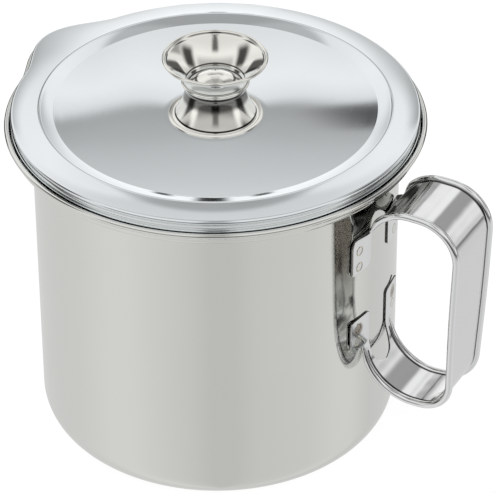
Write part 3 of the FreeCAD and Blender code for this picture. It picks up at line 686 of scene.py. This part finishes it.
def strapPoint(path, onWall, y):
    # (x - w (R - sqrt(R^2 - y^2)), y, z): flat across on the loop, bent round the wall where w is 1,
    # and straight beyond the width that lies close to the wall
    radius, close = handle["wallRadius"] + 0.5 * handle["sheet"], handle["closeWidth"]
    inside = np.minimum(np.abs(y), close)
    beyond = (np.abs(y) - inside) * close / math.sqrt(radius ** 2 - close ** 2)
    x = path[:, :1] - onWall[:, None] * (radius - np.sqrt(radius ** 2 - inside ** 2) + beyond)
    return np.stack([x, y, np.repeat(path[:, 1:], y.shape[1], 1)], -1)


def addMap(mesh, name, u, v):
    # A UV map from one (u, v) pair per vertex.
    corner = np.empty(len(mesh.loops), int)
    mesh.loops.foreach_get("vertex_index", corner)
    layer = mesh.uv_layers.new(name=name)
    layer.uv.foreach_set("vector", np.stack([u, v], -1)[corner].astype(np.float32).ravel())


def addStrap():
    # The sheet's middle at y = inner + (outer - inner) * share, and mirrored to -y, one half beside the other
    path, along = strapPath()
    reach, outer, inner, onWall = strapEdges(path, along)
    rows, columns = len(path), handle["columns"]
    share = np.linspace(0.0, 1.0, columns)
    y = inner[:, None] + (outer - inner)[:, None] * share[None, :]
    far, near = strapPoint(path, onWall, y), strapPoint(path, onWall, -y)
    points = np.concatenate([far.reshape(-1, 3), near.reshape(-1, 3)])
    index = np.arange(2 * rows * columns).reshape(2, rows, columns)
    index[1, :, 0] = np.where(inner > 0.0, index[1, :, 0], index[0, :, 0])
    quads = np.stack([index[:, :-1, :-1], index[:, :-1, 1:], index[:, 1:, 1:], index[:, 1:, :-1]], -1)
    quads[1] = quads[1, :, :, ::-1]
    used, quads = np.unique(quads, return_inverse=True)
    mesh = bpy.data.meshes.new("strapSheet")
    mesh.from_pydata(points[used].tolist(), [], quads.reshape(-1, 4).tolist())
    # On the ears the map's distance is lifted out of the seam's reach.
    lifted = rampBetween(onWall, handle["mapLiftFrom"], handle["mapLiftTo"])
    edge = reach[:, None] - y + handle["mapLift"] * lifted[:, None]
    addMap(mesh, "strapMap", np.tile(np.repeat(along, columns), 2)[used], np.tile(edge.ravel(), 2)[used])
    mesh.shade_smooth()
    for material in (strapSteel, strapBackSteel, cutEdge):
        mesh.materials.append(material)
    sheet = bpy.data.objects.new("strapSheet", mesh)
    bpy.context.scene.collection.objects.link(sheet)
    thick = sheet.modifiers.new("sheet", "SOLIDIFY")
    thick.thickness, thick.offset, thick.use_even_offset = handle["sheet"], 0.0, True
    thick.material_offset, thick.material_offset_rim = 1, 2
    bevel = sheet.modifiers.new("worn edge", "BEVEL")
    bevel.width, bevel.segments = handle["wornEdge"], 2
    bevel.angle_limit = math.radians(handle["wornAngle"])
    return sheet, path, along, reach, onWall


def tube(centres, radius, sides, across):
    # centre + r (cos a * n + sin a * across), n square to the path and to across; its ends run to a point
    ahead = np.gradient(centres, axis=0)
    ahead /= np.linalg.norm(ahead, axis=1)[:, None]
    normal = np.cross(ahead, across)
    normal /= np.linalg.norm(normal, axis=1)[:, None]
    a = np.linspace(0.0, 2.0 * np.pi, sides, endpoint=False)
    ring = (np.cos(a)[None, :, None] * normal[:, None, :]
            + np.sin(a)[None, :, None] * np.array(across)[None, None, :])
    points = (centres[:, None, :] + radius[:, None, None] * ring).reshape(-1, 3)
    faces = [gridFaces(len(centres), sides, False, True)]
    j = np.arange(sides)
    for tip, row, order in ((centres[0], 0, -1), (centres[-1], len(centres) - 1, 1)):
        pole = np.full(sides, len(points))
        points = np.concatenate([points, tip[None, :]])
        faces.append(np.stack([pole, *([row * sides + j, row * sides + (j + 1) % sides][::order])], -1))
    return points, faces


def addBeads(path, along, reach, onWall):
    # A round roll along each edge of the loop, thinner where it dies into the ears.
    h = handle
    start = h["upperEar"]["neck"] - h["beadOver"]
    end = along[-1] - h["lowerEar"]["neck"] + h["beadOver"]
    part = slice(*np.searchsorted(along, (start, end)))
    ahead = np.gradient(path, axis=0)
    outward = np.stack([-ahead[:, 1], ahead[:, 0]], -1) / np.linalg.norm(ahead, axis=1)[:, None]
    s = along[part]
    grown = easeBetween(s - s[0], 0.0, h["beadRun"]) * easeBetween(s[-1] - s, 0.0, h["beadRun"])
    radius = h["beadTip"] + (h["beadRadius"] - h["beadTip"]) * grown
    for number, side in enumerate((-1.0, 1.0)):
        flat = strapPoint(path[part], onWall[part], (side * reach[part])[:, None])[:, 0]
        lift = outward[part] * (0.5 * h["sheet"] * grown)[:, None]
        centres = flat + np.stack([lift[:, 0], np.zeros(len(s)), lift[:, 1]], -1)
        roll = tube(centres, radius, h["beadSides"], (0.0, 1.0, 0.0))
        addPiece("strapBead%d" % number, *roll, "pot", "handle_steel", handleSteel)


strapSheet, *strapRows = addStrap()
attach(strapSheet, "pot")
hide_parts("handle_strap")
addBeads(*strapRows)
print("handle made")


# Weld marks: low rings on the ears.

weld = dict(across=12.3 * mm, heights=(80.6 * mm, 86.7 * mm, 50.9 * mm, 56.4 * mm), radius=1.75 * mm,
            ring=1.45 * mm, ringHalf=0.16 * mm, stand=0.07 * mm, proud=0.02 * mm, sunk=0.3 * mm, rows=14,
            around=36)


def addWelds():
    # Height over the ear: proud + stand * exp(-((r - ring) / ringHalf)^2), and below the ear at the rim and
    # the back.
    w, close = weld, handle["closeWidth"]
    r = np.concatenate([np.linspace(0.0, w["radius"], w["rows"])[1:], [w["radius"]]])
    t = np.linspace(0.0, 2.0 * np.pi, w["around"], endpoint=False)
    rise = w["stand"] * np.exp(-((r - w["ring"]) / w["ringHalf"]) ** 2) + w["proud"]
    rise[-1] = -w["sunk"]
    across, up = r[:, None] * np.cos(t), r[:, None] * np.sin(t)
    turn = math.asin(close / (handle["wallRadius"] + 0.5 * handle["sheet"]))
    middle = np.array([math.cos(turn), math.sin(turn)]) * (handle["wallRadius"] + handle["sheet"])
    points, faces, spread = [], [], []
    for height in w["heights"]:
        for side in (-1.0, 1.0):
            reach = (w["across"] - close) / math.cos(turn)
            first = sum(len(block) for block in points)
            level = np.concatenate([np.repeat(rise, w["around"]), [w["proud"], -w["sunk"]]])
            sideways = np.concatenate([across.ravel(), [0.0, 0.0]]) + reach
            x = middle[0] + level * math.cos(turn) - sideways * math.sin(turn)
            y = side * (middle[1] + level * math.sin(turn) + sideways * math.cos(turn))
            points.append(np.stack([x, y, height + np.concatenate([up.ravel(), [0.0, 0.0]])], -1))
            order = slice(None, None, int(side))
            faces.append(gridFaces(len(r), w["around"], False, True, first)[:, order])
            j, rim = np.arange(w["around"]), (len(r) - 1) * w["around"]
            top, base = (np.full(w["around"], first + rim + w["around"] + k) for k in (0, 1))
            faces.append(np.stack([top, first + (j + 1) % w["around"], first + j], -1)[:, order])
            below = [base, first + rim + j, first + rim + (j + 1) % w["around"]]
            faces.append(np.stack(below, -1)[:, order])
            spread.append(np.concatenate([np.repeat(r, w["around"]), [0.0, w["radius"]]]))
    marks = addPiece("weldMarks", np.concatenate(points), faces, "pot", "weld_steel", weldSteel,
                     ["handle_welds"])
    radial = np.concatenate(spread)
    addMap(marks.data, "weldMap", radial, radial)


addWelds()
print("welds made")


# CAD nodes that stay as they are get a material alone.

kept = dict(strainer_mesh=strainerSteel, knob_screw=fastenerSteel, knob_washer=fastenerSteel,
            knob_nut=fastenerSteel)
for name, material in kept.items():
    nodes[name].data.materials.clear()
    nodes[name].data.materials.append(material)


# Camera, light and floor.

camera = dict(azimuth=29.0, elevation=34.84, target=(8.83 * mm, 4.90 * mm, 61.23 * mm),
              distance=1033.7 * mm, lens=224.86, sensor=36.0, roll=-0.295, clip=(0.05, 20.0))


def addCamera():
    # It stands at target + distance * (sin a cos e, -cos a cos e, sin e) and looks back at the target.
    a, e = math.radians(camera["azimuth"]), math.radians(camera["elevation"])
    back = Vector((math.sin(a) * math.cos(e), -math.cos(a) * math.cos(e), math.sin(e)))
    data = bpy.data.cameras.new("camera")
    data.sensor_width, data.lens = camera["sensor"], camera["lens"]
    data.clip_start, data.clip_end = camera["clip"]
    eye = bpy.data.objects.new("camera", data)
    bpy.context.scene.collection.objects.link(eye)
    turn = (-back).to_track_quat("-Z", "Y").to_matrix().to_4x4()
    roll = Matrix.Rotation(math.radians(camera["roll"]), 4, "Z")
    place = Vector(camera["target"]) + back * camera["distance"]
    eye.matrix_world = Matrix.Translation(place) @ turn @ roll
    bpy.context.scene.camera = eye


# What the metal sees. Tones by elevation stand at (degrees + 90) / 180, and tones by azimuth at
# (degrees + 180) / 360, both in the pot's own axes. Each card is a dark soft-edged rectangle, and the line
# a dark band all round.
studio = dict(
    horizon=-3.0, horizonBlend=3.0, line=dict(low=-9.5, high=-4.5, soft=1.5, depth=0.5),
    away=119.0, awaySoft=(10.5, 15.5),
    arch=dict(middle=119.7, rise=(2.4, 3.5), even=2.3, uneven=-0.6, fade=(7.5, 14.0)),
    above=[(0.0, 1.08), (0.545, 1.08), (0.60, 0.92), (0.635, 0.66), (0.65, 0.58), (0.661, 0.50),
           (0.672, 0.46), (0.684, 0.40), (0.691, 0.84), (0.705, 0.98), (0.73, 0.84), (0.76, 0.74),
           (0.818, 0.70), (0.83, 0.66), (0.88, 0.66), (1.0, 0.78)],
    aside=[(0.0, 1.05), (0.53, 1.05), (0.60, 0.86), (0.66, 0.94), (0.72, 0.98), (0.78, 0.88), (0.83, 0.82),
           (1.0, 0.80)],
    below=[(0.0, 0.72), (0.055, 0.74), (0.125, 0.80), (0.17, 0.80), (0.22, 0.75), (0.28, 0.69),
           (0.32, 0.63), (0.36, 0.63), (0.40, 0.68), (0.50, 0.715), (0.56, 0.77), (0.60, 0.77),
           (0.65, 0.68), (0.80, 0.70), (1.0, 0.72)],
    cards=[dict(azimuth=-61.0, halfWidth=14.0, low=-14.0, high=4.0, soft=5.0, depth=0.97),
           dict(azimuth=-61.0, halfWidth=9.0, low=4.0, high=20.0, soft=5.0, depth=0.7),
           dict(azimuth=-61.0, halfWidth=11.0, low=44.0, high=80.0, soft=6.0, depth=0.85),
           dict(azimuth=-61.0, halfWidth=60.0, low=-15.0, high=10.0, soft=8.0, depth=0.72),
           dict(azimuth=-61.0, halfWidth=64.0, low=10.0, high=30.0, soft=8.0, depth=0.35),
           dict(azimuth=44.0, halfWidth=24.0, low=-14.0, high=6.0, soft=5.0, depth=0.35),
           dict(azimuth=-166.0, halfWidth=24.0, low=-14.0, high=6.0, soft=5.0, depth=0.35),
           dict(azimuth=119.5, halfWidth=0.55, low=-8.0, high=7.0, soft=0.25, depth=0.97),
           dict(azimuth=117.5, halfWidth=0.4, low=-8.0, high=4.0, soft=0.25, depth=0.9),
           dict(azimuth=121.5, halfWidth=0.4, low=-8.0, high=4.0, soft=0.25, depth=0.9),
           dict(azimuth=119.0, halfWidth=42.0, low=52.0, high=80.0, soft=2.0, depth=0.38),
           dict(azimuth=85.0, halfWidth=14.0, low=-27.0, high=12.0, soft=4.0, depth=0.9),
           dict(azimuth=153.0, halfWidth=14.0, low=-27.0, high=12.0, soft=4.0, depth=0.9),
           dict(azimuth=31.0, halfWidth=15.0, low=8.0, high=46.0, soft=8.0, depth=0.93),
           dict(azimuth=-153.0, halfWidth=15.0, low=8.0, high=46.0, soft=8.0, depth=0.93),
           dict(azimuth=70.0, halfWidth=20.0, low=27.0, high=60.0, soft=5.0, depth=0.62),
           dict(azimuth=124.7, halfWidth=2.2, low=29.6, high=32.5, soft=0.45, depth=0.8)])


def addWorld():
    world = bpy.data.worlds.new("studio")
    bpy.context.scene.world = world
    finish = Finish(world)
    direction = finish.add("ShaderNodeTexCoord", output="Generated")
    split = finish.add("ShaderNodeSeparateXYZ", inputs=[direction]).socket.node
    x, y, z = (Wire(finish, socket) for socket in split.outputs)
    elevation = finish.add("ShaderNodeMath", dict(operation="ARCSINE"), [z]) * (180.0 / math.pi)
    azimuth = finish.add("ShaderNodeMath", dict(operation="ARCTAN2"), [y, x]) * (180.0 / math.pi)

    def between(value, start, end):
        return finish.add("ShaderNodeMapRange", dict(interpolation_type="SMOOTHSTEP"), [value, start, end])

    def offset(centre):
        # degrees of azimuth from the centre, the short way round
        turn = finish.add("ShaderNodeMath", dict(operation="WRAP"), [azimuth - centre, 180.0, -180.0])
        return finish.add("ShaderNodeMath", dict(operation="ABSOLUTE"), [turn])

    def level(card):
        # 1 between the card's low and high elevation, and 0 outside them, with soft edges
        low, high, soft = card["low"], card["high"], card["soft"]
        return between(elevation, low - soft, low + soft) * between(elevation, high + soft, high - soft)

    # Straight behind the pot the tones hang in an arch: even + uneven * side degrees lower from the rise
    # on, with side from -1 to 1, and level again beyond the fade.
    share = elevation / 180.0 + 0.5
    arch = studio["arch"]
    apart = offset(arch["middle"])
    side = finish.add("ShaderNodeMapRange", {}, [azimuth - arch["middle"], -1.0, 1.0, -1.0, 1.0])
    drop = (between(apart, *arch["rise"]) * between(apart, *arch["fade"][::-1])
            * (side * arch["uneven"] + arch["even"]))
    behind = finish.ramp(share + drop / 180.0, studio["above"])
    above = finish.mix(between(offset(studio["away"]), *studio["awaySoft"]), behind,
                       finish.ramp(share, studio["aside"]))
    below = finish.ramp(azimuth / 360.0 + 0.5, studio["below"])
    blend = studio["horizonBlend"]
    tone = finish.mix(between(elevation, studio["horizon"] - blend, studio["horizon"]), below, above)
    tone = finish.mix(level(studio["line"]) * studio["line"]["depth"], tone, (0.0, 0.0, 0.0, 1.0))
    for card in studio["cards"]:
        edge, soft = card["halfWidth"], card["soft"]
        inside = between(offset(card["azimuth"]), edge + soft, edge - soft) * level(card)
        tone = finish.mix(inside * card["depth"], tone, (0.0, 0.0, 0.0, 1.0))
    seen = finish.add("ShaderNodeLightPath", output="Is Camera Ray")
    colour = finish.mix(seen, tone, (1.0, 1.0, 1.0, 1.0))
    back = finish.add("ShaderNodeBackground", inputs={"Color": colour, "Strength": 1.0})
    finish.add("ShaderNodeOutputWorld", inputs={"Surface": back})


ground = dict(half=3.0, paper=(0.86, 0.86, 0.86, 1.0), glow=1.06, glowShare=0.88)


def addFloor():
    # White to the camera but for the shadow, and open to gloss, which sees the studio below it.
    mesh = bpy.data.meshes.new("floor")
    half = ground["half"]
    corners = [(-half, -half, 0), (half, -half, 0), (half, half, 0), (-half, half, 0)]
    mesh.from_pydata(corners, [], [(0, 1, 2, 3)])
    floor = bpy.data.objects.new("floor", mesh)
    bpy.context.scene.collection.objects.link(floor)
    material, finish = newFinish("floor")
    paper = finish.add("ShaderNodeBsdfDiffuse", inputs={"Color": ground["paper"]})
    white = finish.add("ShaderNodeEmission",
                       inputs={"Color": (1.0, 1.0, 1.0, 1.0), "Strength": ground["glow"]})
    seen = finish.add("ShaderNodeLightPath", output="Is Camera Ray")
    gloss = finish.add("ShaderNodeLightPath", output="Is Glossy Ray")
    matt = finish.add("ShaderNodeMixShader", inputs=[seen * ground["glowShare"], paper, white])
    clear = finish.add("ShaderNodeBsdfTransparent")
    surface = finish.add("ShaderNodeMixShader", inputs=[gloss, matt, clear])
    finish.add("ShaderNodeOutputMaterial", inputs={"Surface": surface})
    mesh.materials.append(material)


softbox = dict(side=0.9, energy=9.0, places=[(-0.9, -0.3, 1.3), (0.9, -0.9, 1.1)], aim=(0.0, 0.0, 0.06))


def addLights():
    for number, place in enumerate(softbox["places"]):
        data = bpy.data.lights.new("softbox%d" % number, "AREA")
        data.size, data.energy = softbox["side"], softbox["energy"]
        lamp = bpy.data.objects.new(data.name, data)
        bpy.context.scene.collection.objects.link(lamp)
        lamp.location = place
        aim = Vector(softbox["aim"]) - Vector(place)
        lamp.rotation_euler = aim.to_track_quat("-Z", "Y").to_euler()
        lamp.visible_glossy = False  # the metal sees the studio's tones alone


addCamera()
addWorld()
addFloor()
addLights()
bpy.context.scene.view_settings.view_transform = "Standard"
print("stage made")
